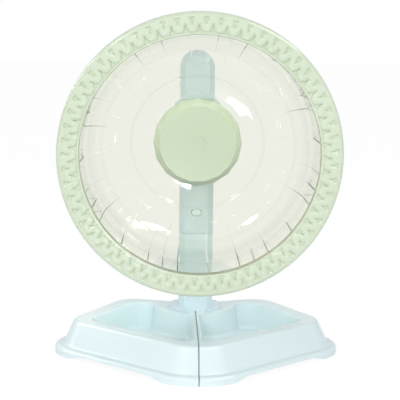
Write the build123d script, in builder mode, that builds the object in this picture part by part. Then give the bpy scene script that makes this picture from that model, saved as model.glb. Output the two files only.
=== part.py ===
from build123d import *
from math import atan, cos, degrees, isclose, radians
import os

# Rodent exercise wheel on a column, with a base of two food bowls, in millimetres.
# X is to the right, Y is away from the viewer and Z is up. The ground is at Z = 0.

os.makedirs("parts", exist_ok=True)

# Wheel
wheel_radius = 105.0
axle_height = 165.5
wheel_front = -62.5
ring_width = 16.7
ring_depth = 13.0
ring_wall = 2.2
ring_lip_depth = 9.0
ring_lip_setback = 1.0
ring_lip_round = 0.8
ring_edge_width = 3.0
ring_lip_width = 2.0
ring_edge_groove = 1.4
ring_edge_round = 2.4
zigzag_count = 59
first_loop_angle = 5.59
zigzag_edge_gap = 0.8
zigzag_depth = 2.2
cut_overshoot = 0.3
cut_side_overshoot = 1.0
wedge_length = 5.8
wedge_neck_length = 2.6
wedge_neck_half_width = 2.2
wedge_half_width = 4.2
wedge_slope = 26.0
hollow_length = 4.7
hollow_half_width = 2.7
hollow_depth = 0.9
hollow_slope = 15.0
crease_length = 8.2
crease_half_width = 1.0
crease_depth = 1.5
clip_count = 8
clip_width = 6.0
clip_reach = 2.3
clip_depth = 2.4

# Drum
drum_wall = 1.8
mouth_clearance = 0.5
flange_edge_clearance = 0.5
flange_thickness = 2.0
flange_clearance = 0.1
track_narrowing = 4.3
track_rise = 11.0
track_bend = 34.0
step_radius = 52.5
step_height = 2.0
step_rise = 3.5
hub_flat_radius = 39.0
hub_hole_radius = 4.2
drum_depth = 81.0
rib_count = 16
rib_height = 0.8
rib_width = 1.0
rib_end_radius = 63.5
first_rib_angle = 5.0
panel_thickness = 0.6
panel_angle = 30.0
panel_corner = 7.0

# Knob
knob_sides = 16
knob_radius = 34.65
knob_face_radius = 30.0
knob_depth = 9.0
knob_skirt = 1.2
knob_wall = 2.0
knob_dimple_radius = 6.2
knob_dimple_depth = 0.3
knob_boss_radius = 8.5
knob_hollow_rear = 31.5
knob_hollow_front = 28.0
insert_radius = 6.0
insert_depth = 7.2

# Axle and its two ball bearings
axle_radius = 4.0
running_clearance = 0.05
bearing_fit = 0.02
bearing_radius = 8.0
bearing_width = 5.0
bearing_gap = 9.0
race_thickness = 1.1
shield_thickness = 0.4
shield_inset = 0.3
shield_clearance = 0.3
ledge_radius = 7.0
hub_flange_radius = 22.0
hub_flange_thickness = 3.5
bearing_setback = 0.5
sleeve_wall = 1.0
washer_thickness = 1.0
washer_radius = 6.5
nut_thickness = 4.0
nut_width = 13.0
shaft_overrun = 1.0
shaft_setback = 0.5
shaft_bevel = 0.6

# Column
column_width = 27.0
wheel_gap = 7.2
column_wall = 2.5
column_chamfer = 4.0
column_inner_chamfer = 2.5
column_top = 70.5
column_seam = 76.0
seam_gap = 0.2
spigot_clearance = 0.2
spigot_length = 32.0
spigot_wall = 1.8
bore_chamfer = 1.5
block_half_height = 13.0
block_depth = 9.0
barrel_hole_clearance = 0.2
cap_radius = 12.5
cap_thickness = 2.2
cap_round = 1.0
cap_skirt_length = 4.5
cap_skirt_wall = 1.5
cap_hole_radius = 10.4

# Catch
catch_drop = 58.3
catch_width = 8.4
catch_height = 6.0
catch_clearance = 0.1
catch_proud = 1.5
catch_flange = 1.6
catch_flange_overlap = 1.8
catch_round = 0.8
spring_stub_radius = 2.4
spring_stub_length = 2.0
spring_end_gap = 0.06
spring_radius = 3.2
spring_wire = 0.7
spring_turns = 5

# Axle plate
plate_width = 35.6
plate_height = 69.0
plate_thickness = 4.0
plate_chamfer = 5.0
plate_edge = 0.8
plate_screw_offset = 27.0
plate_screw_length = 13.0
plate_screw_boss = 8.0
barrel_wall = 2.0
barrel_overrun = 1.5

# Screws
screw_radius = 1.4
screw_head_radius = 2.8
screw_head_height = 2.0
screw_clearance = 0.1
screw_boss_wall = 2.0
screw_slot_width = 0.8
screw_slot_depth = 0.9
foot_screw_length = 11.0
foot_screw_hole_depth = 11.0

# Base
rim_height = 26.0
lip_height = 6.5
wall_lean = 9.4
lip_reach = 6.3
base_wall = 2.2
floor_height = 4.5
seam_wall = 2.7
rim_front_width = 9.2
rim_side_width = 14.0
rim_back_width = 11.0
rim_round = 3.5
mouth_round = 1.2
lip_round = 3.0
groove_round = 2.5
cavity_draft = 7.0
cavity_floor_round = 3.5
lobe_radius = 34.5
lobe_setback = 16.0
lobe_round = 7.0
foot_height = 3.4
foot_ramp = 12.0
arch_round = 8.0
front_arch = (23.0, 118.0)
side_arch = (22.0, 62.0)
back_arch = (22.0, 75.0)
flange_disc_radius = 21.5
flange_disc_thickness = 2.5
flange_notch = 16.0
tenon_width = 23.0
tenon_clearance = 0.2
tenon_bottom = 10.0
foot_plate_thickness = 3.0
foot_plate_setback = 15.0
foot_plate_clearance = 0.5
post_screw_offset = 6.0
bowl_screw_x = 24.0
bowl_screw_setback = 5.0
flange_disc_inset = 1.5
peg_radius = 2.5
peg_length = 2.5
peg_clearance = 0.15
peg_height = 12.0
peg_places = (-45.0, 8.0)

front_corner = (0.0, -82.2)
side_corner = (101.3, 5.0)
back_corner = (58.4, 76.24)
notch_corner = (16.0, 63.8)
corner_rounds = [30.0, 18.0, 20.0, 26.0]
mouth_corner_rounds = [9.0, 14.0, 14.0, 0.0]

# Places that follow from the sizes above
wheel_axis = Axis((0, 0, axle_height), (0, -1, 0))
ring_inner_radius = wheel_radius - ring_width
ring_groove_radius = wheel_radius - ring_edge_width
zigzag_inner = ring_inner_radius + ring_lip_width
zigzag_outer = ring_groove_radius - zigzag_edge_gap
wedge_tip = zigzag_outer - wedge_length
wedge_neck = zigzag_outer - wedge_neck_length
hollow_tip = zigzag_inner + hollow_length
crease_end = zigzag_inner + crease_length
mouth_radius = zigzag_inner + mouth_clearance
track_radius = mouth_radius - track_narrowing
flange_radius = wheel_radius - ring_wall - flange_edge_clearance
flange_front = 2 * ring_wall + flange_clearance
track_depth = drum_depth - track_rise
step_depth = drum_depth - step_rise
drum_back = wheel_front + drum_depth
plate_front = drum_back + drum_wall + wheel_gap
column_front = plate_front + plate_thickness
column_centre = column_front + column_width / 2
column_back = column_front + column_width
column_inner_back = column_back - column_wall
seam_height = axle_height - column_seam
catch_height_above_ground = axle_height - catch_drop
wall_taper = degrees(atan(wall_lean / (rim_height - lip_height)))
lobe_centre = column_centre + lobe_setback
foot_plate_back = column_centre + foot_plate_setback
bowl_screw_y = column_centre + bowl_screw_setback
bore_radius = axle_radius + running_clearance


def facing_viewer(y, z=axle_height):
    """Plane across the axle at a depth, with its normal towards the viewer."""
    return Plane(origin=(0, y, z), x_dir=(1, 0, 0), z_dir=(0, -1, 0))


def facing_away(y, z=axle_height):
    """The same plane with its normal away from the viewer."""
    return Plane(origin=(0, y, z), x_dir=(1, 0, 0), z_dir=(0, 1, 0))


def inset_polygon(corners, insets):
    """Corners of a polygon whose sides are each moved inwards by their own amount."""
    points = [Vector(*corner) for corner in corners]
    moved = []
    for i, corner in enumerate(points):
        before = (corner - points[i - 1]).normalized()
        after = (points[(i + 1) % len(points)] - corner).normalized()
        first = Vector(-before.Y, before.X) * insets[i - 1]
        second = Vector(-after.Y, after.X) * insets[i]
        along = (second - first).cross(after).Z / before.cross(after).Z
        moved.append(corner + first + before * along)
    return moved


def mirrored(corner):
    """The same corner on the other side of the seam."""
    return (-corner[0], corner[1])


# Base: one shell over both bowls, cut into two mirror-image halves on the seam

with BuildSketch() as rim_outline:
    with BuildLine():
        right_corners = [front_corner, side_corner, back_corner, notch_corner]
        left_corners = [mirrored(corner) for corner in right_corners[:0:-1]]
        FilletPolyline(
            *right_corners,
            *left_corners,
            radius=corner_rounds + corner_rounds[:0:-1],
            close=True,
        )
    make_face()

back_slope = (back_corner[1] - notch_corner[1]) / (back_corner[0] - notch_corner[0])
back_middle = (0.0, notch_corner[1] - back_slope * notch_corner[0])
half_corners = [front_corner, side_corner, back_corner, back_middle]
mouth_corners = inset_polygon(
    half_corners, [rim_front_width, rim_side_width, rim_back_width, seam_wall]
)

with BuildSketch() as bowl_mouth:
    with BuildLine():
        FilletPolyline(*mouth_corners, radius=mouth_corner_rounds, close=True)
    make_face()
    with Locations((0, lobe_centre)):
        Circle(lobe_radius, mode=Mode.SUBTRACT)
    middle = Vector(0, lobe_centre)
    on_lobe = [
        vertex
        for vertex in bowl_mouth.vertices()
        if isclose((Vector(vertex) - middle).length, lobe_radius, abs_tol=0.01)
    ]
    fillet(on_lobe, lobe_round)

with BuildPart() as whole_shell:
    with BuildSketch(Plane.XY.offset(lip_height)):
        offset(rim_outline.sketch, wall_lean)
    extrude(amount=rim_height - lip_height, taper=wall_taper)
    fillet(whole_shell.faces().sort_by(Axis.Z)[-1].edges(), rim_round)
    with BuildSketch():
        offset(rim_outline.sketch, wall_lean + lip_reach)
    extrude(amount=lip_height)
    ledge = whole_shell.faces().filter_by(Axis.Z).sort_by(Axis.Z)[1]
    fillet(ledge.outer_wire().edges(), lip_round)
    ledge = whole_shell.faces().filter_by(Axis.Z).sort_by(Axis.Z)[1]
    fillet(ledge.inner_wires()[0].edges(), groove_round)

with BuildPart() as cavity:
    with BuildSketch(Plane.XY.offset(rim_height)):
        add(bowl_mouth.sketch)
    extrude(amount=floor_height - rim_height, taper=cavity_draft)
    fillet(cavity.faces().sort_by(Axis.Z)[0].edges(), cavity_floor_round)

socket_width = tenon_width + 2 * tenon_clearance
boss_radius = screw_radius + screw_clearance + screw_boss_wall
foot_plate_radius = lobe_radius - base_wall - 2 * foot_plate_clearance

with BuildPart() as hollow:
    with BuildSketch(Plane.XY.offset(lip_height)):
        offset(rim_outline.sketch, wall_lean - base_wall)
    extrude(amount=rim_height - base_wall - lip_height, taper=wall_taper)
    with BuildSketch():
        offset(rim_outline.sketch, wall_lean - base_wall)
    extrude(amount=lip_height)
    with BuildSketch(Plane.XY.offset(rim_height)):
        offset(bowl_mouth.sketch, base_wall)
    extrude(amount=floor_height - base_wall - rim_height, taper=cavity_draft, mode=Mode.SUBTRACT)
    split(bisect_by=Plane.YZ.offset(seam_wall), keep=Keep.TOP)
    with Locations((0, column_centre, tenon_bottom)):
        Box(
            socket_width + 2 * base_wall,
            socket_width + 2 * base_wall,
            rim_height,
            align=(Align.CENTER, Align.CENTER, Align.MIN),
            mode=Mode.SUBTRACT,
        )
    with Locations((bowl_screw_x, bowl_screw_y, tenon_bottom)):
        Cylinder(
            boss_radius,
            rim_height,
            align=(Align.CENTER, Align.CENTER, Align.MIN),
            mode=Mode.SUBTRACT,
        )


def outer_side(start, end):
    """Upright plane on one side of the outline, with its normal outwards."""
    along = (Vector(*end) - Vector(*start)).normalized()
    return Plane(origin=Vector(*start), x_dir=along, z_dir=along.cross(Vector(0, 0, 1)))


with BuildPart() as bowl_half:
    add(whole_shell.part)
    split(bisect_by=Plane.YZ.offset(seam_gap / 2), keep=Keep.TOP)
    add(cavity.part, mode=Mode.SUBTRACT)
    deck = bowl_half.faces().filter_by(Axis.Z).sort_by(Axis.Z)[-1]
    fillet(deck.inner_wires()[0].edges(), mouth_round)
    add(hollow.part, mode=Mode.SUBTRACT)
    with Locations((0, column_centre, 0)):
        Box(socket_width, socket_width, 3 * rim_height, mode=Mode.SUBTRACT)
    with Locations((bowl_screw_x, bowl_screw_y, tenon_bottom)):
        Cylinder(
            screw_radius + screw_clearance,
            foot_screw_hole_depth,
            align=(Align.CENTER, Align.CENTER, Align.MIN),
            mode=Mode.SUBTRACT,
        )
    with BuildSketch():
        with Locations((0, lobe_centre)):
            Circle(foot_plate_radius + foot_plate_clearance)
        with Locations((0, foot_plate_back + foot_plate_clearance)):
            Rectangle(
                3 * lobe_radius,
                2 * lobe_radius,
                align=(Align.CENTER, Align.MIN),
                mode=Mode.SUBTRACT,
            )
    extrude(amount=tenon_bottom, mode=Mode.SUBTRACT)
    for start, end, arch in (
        (front_corner, side_corner, front_arch),
        (side_corner, back_corner, side_arch),
        (back_corner, notch_corner, back_arch),
    ):
        with BuildSketch(outer_side(start, end)):
            with BuildLine():
                FilletPolyline(
                    (arch[0], 0),
                    (arch[1], 0),
                    (arch[1] - foot_ramp, foot_height),
                    (arch[0] + foot_ramp, foot_height),
                    radius=[0, 0, arch_round, arch_round],
                    close=True,
                )
            make_face()
        extrude(amount=2 * (wall_lean + lip_reach), mode=Mode.SUBTRACT)


with BuildPart() as left_bowl:
    mirror(bowl_half.part, about=Plane.YZ)
    with Locations([(-seam_gap / 2, y, peg_height) for y in peg_places]):
        Cylinder(
            peg_radius,
            seam_gap / 2 + peg_length,
            rotation=(0, 90, 0),
            align=(Align.CENTER, Align.CENTER, Align.MIN),
        )
left_bowl.part.label = "left_bowl"
export_step(left_bowl.part, "parts/left_bowl.step")

with BuildPart() as right_bowl:
    add(bowl_half.part)
    with Locations([(seam_gap / 2, y, peg_height) for y in peg_places]):
        Cylinder(
            peg_radius + peg_clearance,
            peg_length,
            rotation=(0, 90, 0),
            align=(Align.CENTER, Align.CENTER, Align.MIN),
            mode=Mode.SUBTRACT,
        )
right_bowl.part.label = "right_bowl"
export_step(right_bowl.part, "parts/right_bowl.step")

with BuildPart() as foot_plate:
    with BuildSketch(Plane.XY.offset(tenon_bottom - foot_plate_thickness)):
        with Locations((0, lobe_centre)):
            Circle(foot_plate_radius)
        with Locations((0, foot_plate_back)):
            Rectangle(
                3 * lobe_radius,
                2 * lobe_radius,
                align=(Align.CENTER, Align.MIN),
                mode=Mode.SUBTRACT,
            )
        with Locations((-post_screw_offset, column_centre), (post_screw_offset, column_centre)):
            Circle(screw_radius + screw_clearance, mode=Mode.SUBTRACT)
        with Locations((-bowl_screw_x, bowl_screw_y), (bowl_screw_x, bowl_screw_y)):
            Circle(screw_radius + screw_clearance, mode=Mode.SUBTRACT)
    extrude(amount=foot_plate_thickness)
foot_plate.part.label = "foot_plate"
export_step(foot_plate.part, "parts/foot_plate.step")


def screw(length):
    """Screw with a slotted head below Z = 0 and its shank above."""
    with BuildPart() as body:
        Cylinder(
            screw_head_radius,
            screw_head_height,
            align=(Align.CENTER, Align.CENTER, Align.MAX),
        )
        Cylinder(screw_radius, length, align=(Align.CENTER, Align.CENTER, Align.MIN))
        chamfer(body.edges().sort_by(Axis.Z)[-1], screw_radius / 2)
        with Locations((0, 0, -screw_head_height)):
            Box(2 * screw_head_radius, screw_slot_width, 2 * screw_slot_depth, mode=Mode.SUBTRACT)
            Box(screw_slot_width, 2 * screw_head_radius, 2 * screw_slot_depth, mode=Mode.SUBTRACT)
    return body.part


foot_screw = screw(foot_screw_length)

with BuildPart() as foot_screws:
    with Locations(
        (-bowl_screw_x, bowl_screw_y, tenon_bottom - foot_plate_thickness),
        (-post_screw_offset, column_centre, tenon_bottom - foot_plate_thickness),
        (post_screw_offset, column_centre, tenon_bottom - foot_plate_thickness),
        (bowl_screw_x, bowl_screw_y, tenon_bottom - foot_plate_thickness),
    ):
        add(foot_screw)
foot_screws.part.label = "foot_screws"
export_step(foot_screws.part, "parts/foot_screws.step")

# Column: the lower post stands in the deck and its spigot slides into the upper column

spigot_width = column_width - 2 * column_wall - 2 * spigot_clearance
post_bore = spigot_width - 2 * spigot_wall
bore_back = column_centre + post_bore / 2
bore_front = column_centre - post_bore / 2
post_top = seam_height - seam_gap

with BuildPart() as lower_post:
    with BuildSketch(Plane.XY.offset(rim_height)):
        with Locations((0, column_centre)):
            Rectangle(column_width, column_width)
        chamfer(vertices(), column_chamfer)
    extrude(amount=post_top - rim_height)
    with BuildSketch(Plane.XY.offset(post_top)):
        with Locations((0, column_centre)):
            Rectangle(spigot_width, spigot_width)
        chamfer(vertices(), column_inner_chamfer)
    extrude(amount=spigot_length)
    with BuildSketch(Plane.XY.offset(tenon_bottom)):
        with Locations((0, column_centre)):
            Rectangle(tenon_width, tenon_width)
    extrude(amount=rim_height - tenon_bottom)
    with BuildSketch(Plane.XY.offset(rim_height)):
        offset(rim_outline.sketch, -rim_round - flange_disc_inset)
        with Locations((0, column_centre)):
            Circle(flange_disc_radius, mode=Mode.INTERSECT)
            Rectangle(
                flange_notch,
                2 * flange_disc_radius,
                align=(Align.CENTER, Align.MAX),
                mode=Mode.SUBTRACT,
            )
    extrude(amount=flange_disc_thickness)
    with BuildSketch(Plane.XY.offset(tenon_bottom)):
        with Locations((0, column_centre)):
            Rectangle(post_bore, post_bore)
        chamfer(vertices(), bore_chamfer)
    extrude(amount=post_top + spigot_length - spigot_wall - tenon_bottom, mode=Mode.SUBTRACT)
    with BuildSketch(Plane.XY.offset(tenon_bottom)):
        with Locations((-post_screw_offset, column_centre), (post_screw_offset, column_centre)):
            Circle(boss_radius)
    extrude(amount=foot_screw_hole_depth + screw_boss_wall)
    with BuildSketch(Plane.XY.offset(tenon_bottom)):
        with Locations((-post_screw_offset, column_centre), (post_screw_offset, column_centre)):
            Circle(screw_radius + screw_clearance)
    extrude(amount=foot_screw_hole_depth, mode=Mode.SUBTRACT)
    with BuildSketch(facing_viewer(bore_front, catch_height_above_ground)):
        Ellipse(catch_width / 2 + catch_clearance, catch_height / 2 + catch_clearance)
    extrude(amount=2 * spigot_wall, mode=Mode.SUBTRACT)
    with BuildSketch(facing_viewer(bore_back, catch_height_above_ground)):
        Circle(spring_stub_radius)
    extrude(amount=spring_stub_length)
lower_post.part.label = "lower_post"
export_step(lower_post.part, "parts/lower_post.step")

arch_radius = column_width / 2
barrel_radius = bearing_radius + barrel_wall


def column_face(margin, below):
    """Domed front outline of the column, drawn inwards of the true one by a margin."""
    with Locations((0, -column_seam - below)):
        Rectangle(
            column_width - 2 * margin,
            column_seam + column_top - arch_radius + below,
            align=(Align.CENTER, Align.MIN),
        )
    with Locations((0, column_top - arch_radius)):
        Circle(arch_radius - margin)


with BuildPart() as column_hollow:
    with BuildSketch(facing_viewer(column_front + column_wall)):
        column_face(column_wall, column_wall)
    extrude(amount=-(column_width - 2 * column_wall))
    for end in (0, -1):
        face = column_hollow.faces().sort_by(Axis.Y)[end]
        chamfer(face.edges().sort_by(Axis.Z)[1:], column_inner_chamfer)

with BuildPart() as upper_column:
    with BuildSketch(facing_viewer(column_front)):
        column_face(0, 0)
    extrude(amount=-column_width)
    for end in (0, -1):
        face = upper_column.faces().sort_by(Axis.Y)[end]
        chamfer(face.edges().sort_by(Axis.Z)[1:], column_chamfer)
    add(column_hollow.part, mode=Mode.SUBTRACT)
    with BuildSketch(facing_viewer(column_inner_back)):
        Rectangle(column_width - 2 * column_wall, 2 * block_half_height)
    extrude(amount=block_depth)
    screw_places = [(0, -plate_screw_offset), (0, plate_screw_offset)]
    with BuildSketch(facing_away(column_front + column_wall)):
        with Locations(screw_places):
            Circle(boss_radius)
    extrude(amount=plate_screw_boss)
    with BuildSketch(facing_away(column_front)):
        with Locations(screw_places):
            Circle(screw_radius + screw_clearance)
        Circle(barrel_radius + barrel_hole_clearance)
    extrude(amount=column_wall + plate_screw_boss, mode=Mode.SUBTRACT)
    with BuildSketch(facing_viewer(column_inner_back)):
        Circle(barrel_radius + barrel_hole_clearance)
    extrude(amount=block_depth, mode=Mode.SUBTRACT)
    with BuildSketch(facing_viewer(column_back)):
        Circle(cap_hole_radius)
    extrude(amount=column_wall, mode=Mode.SUBTRACT)
    with BuildSketch(facing_away(column_front, catch_height_above_ground)):
        Ellipse(catch_width / 2 + catch_clearance, catch_height / 2 + catch_clearance)
    extrude(amount=column_wall, mode=Mode.SUBTRACT)
upper_column.part.label = "upper_column"
export_step(upper_column.part, "parts/upper_column.step")

# Catch: an oval button whose flange is pressed against the spigot's front wall by a coil spring

catch_back = bore_front + catch_clearance + catch_flange

with BuildPart() as catch_button:
    with BuildSketch(facing_viewer(catch_back, catch_height_above_ground)):
        Ellipse(catch_width / 2, catch_height / 2)
    extrude(amount=catch_back - column_front + catch_proud)
    fillet(catch_button.faces().sort_by(Axis.Y)[0].edges(), catch_round)
    with BuildSketch(facing_viewer(catch_back, catch_height_above_ground)):
        RectangleRounded(
            catch_width + 2 * catch_flange_overlap,
            catch_height + 2 * catch_flange_overlap,
            catch_flange_overlap,
        )
    extrude(amount=catch_flange)
    with BuildSketch(facing_away(catch_back, catch_height_above_ground)):
        Circle(spring_stub_radius)
    extrude(amount=spring_stub_length)
catch_button.part.label = "catch_button"
export_step(catch_button.part, "parts/catch_button.step")

spring_start = catch_back + spring_wire / 2 + spring_end_gap
spring_length = bore_back - catch_back - spring_wire - 2 * spring_end_gap

with BuildPart() as catch_spring:
    with BuildLine() as coil:
        Helix(
            spring_length / spring_turns,
            spring_length,
            spring_radius,
            center=(0, spring_start, catch_height_above_ground),
            direction=(0, 1, 0),
        )
    with BuildSketch(Plane(origin=coil.line @ 0, z_dir=coil.line % 0)):
        Rectangle(spring_wire, spring_wire)
    sweep(is_frenet=True)
catch_spring.part.label = "catch_spring"
export_step(catch_spring.part, "parts/catch_spring.step")

# Axle plate: screwed on the column's front, with a barrel that holds both bearings

front_bearing = column_front + bearing_setback
rear_bearing = front_bearing + bearing_width + bearing_gap
bearing_end = rear_bearing + bearing_width
housing_radius = bearing_radius + bearing_fit

with BuildPart() as axle_plate:
    with BuildSketch(facing_viewer(column_front)):
        Rectangle(plate_width, plate_height)
        chamfer(vertices(), plate_chamfer)
    extrude(amount=plate_thickness)
    chamfer(axle_plate.faces().sort_by(Axis.Y)[0].edges(), plate_edge)
    with BuildSketch(facing_away(column_front)):
        Circle(barrel_radius)
    extrude(amount=bearing_end + barrel_overrun - column_front)
    with BuildSketch(facing_away(plate_front)):
        Circle(ledge_radius)
    extrude(amount=rear_bearing - plate_front, mode=Mode.SUBTRACT)
    with BuildSketch(facing_away(plate_front)):
        Circle(housing_radius)
    extrude(amount=front_bearing + bearing_width - plate_front, mode=Mode.SUBTRACT)
    with BuildSketch(facing_away(rear_bearing)):
        Circle(housing_radius)
    extrude(amount=bearing_width + barrel_overrun, mode=Mode.SUBTRACT)
    with BuildSketch(facing_away(plate_front)):
        with Locations(screw_places):
            Circle(screw_radius + screw_clearance)
    extrude(amount=plate_thickness, mode=Mode.SUBTRACT)
    with BuildSketch(facing_away(plate_front)):
        with Locations(screw_places):
            Circle(screw_head_radius + seam_gap)
    extrude(amount=screw_head_height, mode=Mode.SUBTRACT)
axle_plate.part.label = "axle_plate"
export_step(axle_plate.part, "parts/axle_plate.step")

plate_screw = screw(plate_screw_length - screw_head_height)

with BuildPart() as axle_plate_screws:
    with Locations(facing_away(plate_front + screw_head_height)):
        with Locations((0, -plate_screw_offset, 0), (0, plate_screw_offset, 0)):
            add(plate_screw)
axle_plate_screws.part.label = "axle_plate_screws"
export_step(axle_plate_screws.part, "parts/axle_plate_screws.step")

with BuildPart() as rear_cap:
    with BuildSketch(facing_away(column_back)):
        Circle(cap_radius)
    extrude(amount=cap_thickness)
    fillet(rear_cap.faces().sort_by(Axis.Y)[-1].edges(), cap_round)
    with BuildSketch(facing_viewer(column_back)):
        Circle(cap_hole_radius - spigot_clearance)
        Circle(cap_hole_radius - spigot_clearance - cap_skirt_wall, mode=Mode.SUBTRACT)
    extrude(amount=cap_skirt_length)
rear_cap.part.label = "rear_cap"
export_step(rear_cap.part, "parts/rear_cap.step")

# Bearings, spacer, sleeve, washer and nut, from the outside inwards

inner_race_radius = bore_radius + race_thickness
outer_race_inner_radius = bearing_radius - race_thickness

with BuildPart() as bearing_outer_rings:
    with BuildSketch(facing_away(front_bearing), facing_away(rear_bearing)):
        Circle(bearing_radius)
        Circle(outer_race_inner_radius, mode=Mode.SUBTRACT)
    extrude(amount=bearing_width)
bearing_outer_rings.part.label = "bearing_outer_rings"
export_step(bearing_outer_rings.part, "parts/bearing_outer_rings.step")

with BuildPart() as bearing_shields:
    near = shield_inset
    far = bearing_width - shield_inset - shield_thickness
    with BuildSketch(
        facing_away(front_bearing + near),
        facing_away(front_bearing + far),
        facing_away(rear_bearing + near),
        facing_away(rear_bearing + far),
    ):
        Circle(outer_race_inner_radius)
        Circle(inner_race_radius + shield_clearance, mode=Mode.SUBTRACT)
    extrude(amount=shield_thickness)
bearing_shields.part.label = "bearing_shields"
export_step(bearing_shields.part, "parts/bearing_shields.step")

with BuildPart() as bearing_inner_rings:
    with BuildSketch(facing_away(front_bearing), facing_away(rear_bearing)):
        Circle(inner_race_radius)
        Circle(bore_radius, mode=Mode.SUBTRACT)
    extrude(amount=bearing_width)
bearing_inner_rings.part.label = "bearing_inner_rings"
export_step(bearing_inner_rings.part, "parts/bearing_inner_rings.step")

with BuildPart() as bearing_spacer:
    with BuildSketch(facing_away(front_bearing + bearing_width)):
        Circle(bore_radius + sleeve_wall)
        Circle(bore_radius, mode=Mode.SUBTRACT)
    extrude(amount=bearing_gap)
bearing_spacer.part.label = "bearing_spacer"
export_step(bearing_spacer.part, "parts/bearing_spacer.step")

sleeve_length = front_bearing - drum_back - drum_wall - hub_flange_thickness

with BuildPart() as axle_sleeve:
    with BuildSketch(facing_viewer(front_bearing)):
        Circle(bore_radius + sleeve_wall)
        Circle(bore_radius, mode=Mode.SUBTRACT)
    extrude(amount=sleeve_length)
axle_sleeve.part.label = "axle_sleeve"
export_step(axle_sleeve.part, "parts/axle_sleeve.step")

with BuildPart() as hub_flange:
    with BuildSketch(facing_away(drum_back + drum_wall)):
        Circle(hub_flange_radius)
        Circle(bore_radius, mode=Mode.SUBTRACT)
    extrude(amount=hub_flange_thickness)
hub_flange.part.label = "hub_flange"
export_step(hub_flange.part, "parts/hub_flange.step")

with BuildPart() as axle_washer:
    with BuildSketch(facing_away(bearing_end)):
        Circle(washer_radius)
        Circle(bore_radius, mode=Mode.SUBTRACT)
    extrude(amount=washer_thickness)
axle_washer.part.label = "axle_washer"
export_step(axle_washer.part, "parts/axle_washer.step")

nut_start = bearing_end + washer_thickness

with BuildPart() as axle_lock_nut:
    with BuildSketch(facing_away(nut_start)):
        RegularPolygon(nut_width / 2, 6, major_radius=False)
        Circle(bore_radius, mode=Mode.SUBTRACT)
    extrude(amount=nut_thickness)
axle_lock_nut.part.label = "axle_lock_nut"
export_step(axle_lock_nut.part, "parts/axle_lock_nut.step")

with BuildPart() as knob_insert:
    with BuildSketch(facing_viewer(drum_back)):
        Circle(insert_radius)
        Circle(bore_radius, mode=Mode.SUBTRACT)
    extrude(amount=insert_depth)
knob_insert.part.label = "knob_insert"
export_step(knob_insert.part, "parts/knob_insert.step")

shaft_front = drum_back - insert_depth + shaft_setback

with BuildPart() as axle_shaft:
    with BuildSketch(facing_away(shaft_front)):
        Circle(axle_radius)
    extrude(amount=nut_start + nut_thickness + shaft_overrun - shaft_front)
    chamfer(axle_shaft.edges(), shaft_bevel)
axle_shaft.part.label = "axle_shaft"
export_step(axle_shaft.part, "parts/axle_shaft.step")

# Knob: the facets come from two sixteen-sided prisms that taper against each other

half_side = radians(180 / knob_sides)
side_taper = degrees(atan((knob_radius * cos(half_side) - knob_face_radius) / knob_depth))
face_taper = degrees(atan((knob_radius - knob_face_radius * cos(half_side)) / knob_depth))
knob_rear = drum_back - knob_skirt
knob_face = knob_rear - knob_depth

with BuildPart() as hub_knob:
    with BuildSketch(facing_viewer(knob_rear)):
        RegularPolygon(knob_radius, knob_sides)
    extrude(amount=knob_depth, taper=side_taper)
    with BuildSketch(facing_viewer(knob_face)):
        RegularPolygon(knob_face_radius, knob_sides, rotation=180 / knob_sides)
    extrude(amount=-knob_depth, taper=-face_taper, mode=Mode.INTERSECT)
    with BuildSketch(facing_viewer(drum_back)):
        RegularPolygon(knob_radius, knob_sides)
    extrude(amount=knob_skirt)
    with BuildSketch(facing_viewer(drum_back)):
        Circle(knob_hollow_rear)
    with BuildSketch(facing_viewer(knob_face + knob_wall)):
        Circle(knob_hollow_front)
    loft(mode=Mode.SUBTRACT)
    with BuildSketch(facing_viewer(drum_back)):
        Circle(knob_boss_radius)
    extrude(amount=drum_back - knob_face - knob_wall)
    with BuildSketch(facing_viewer(drum_back)):
        Circle(insert_radius)
    extrude(amount=insert_depth, mode=Mode.SUBTRACT)
    with BuildSketch(facing_away(knob_face)):
        Circle(knob_dimple_radius)
    extrude(amount=knob_dimple_depth, mode=Mode.SUBTRACT)
hub_knob.part.label = "hub_knob"
export_step(hub_knob.part, "parts/hub_knob.step")

# Drum: the room inside is one outline, and wall, ribs and raised panels are offsets of it

half_section = Plane.XY.offset(axle_height)
reach = 2 * wheel_radius


def at(radius, depth):
    """Point of the half section at a radius and a depth behind the wheel's front."""
    return (radius, wheel_front + depth)


with BuildSketch(half_section) as drum_space:
    with BuildLine():
        FilletPolyline(
            at(0, flange_front),
            at(mouth_radius, flange_front),
            at(track_radius, track_depth),
            at(step_radius, step_depth),
            at(step_radius - step_height, step_depth + step_height),
            at(hub_flat_radius, drum_depth),
            at(0, drum_depth),
            radius=[0, 0, track_bend, 0, 0, 0, 0],
            close=True,
        )
    make_face()

with BuildPart() as rib:
    with BuildSketch(half_section):
        add(drum_space.sketch)
        offset(drum_space.sketch, -rib_height, mode=Mode.SUBTRACT)
        Rectangle(2 * rib_end_radius, reach, mode=Mode.SUBTRACT)
        with Locations(at(0, ring_lip_depth + flange_clearance)):
            Rectangle(2 * reach, reach, align=(Align.CENTER, Align.MAX), mode=Mode.SUBTRACT)
    extrude(amount=rib_width / 2, both=True)

panel_end = rib_end_radius / cos(radians(panel_angle / 2))

with BuildSketch() as panel:
    with BuildLine():
        FilletPolyline(
            Vector(panel_end, 0).rotate(Axis.Z, -panel_angle / 2),
            Vector(reach, 0).rotate(Axis.Z, -panel_angle / 2),
            Vector(reach, 0).rotate(Axis.Z, panel_angle / 2),
            Vector(panel_end, 0).rotate(Axis.Z, panel_angle / 2),
            radius=[panel_corner, 0, 0, panel_corner],
            close=True,
        )
    make_face()

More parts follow.
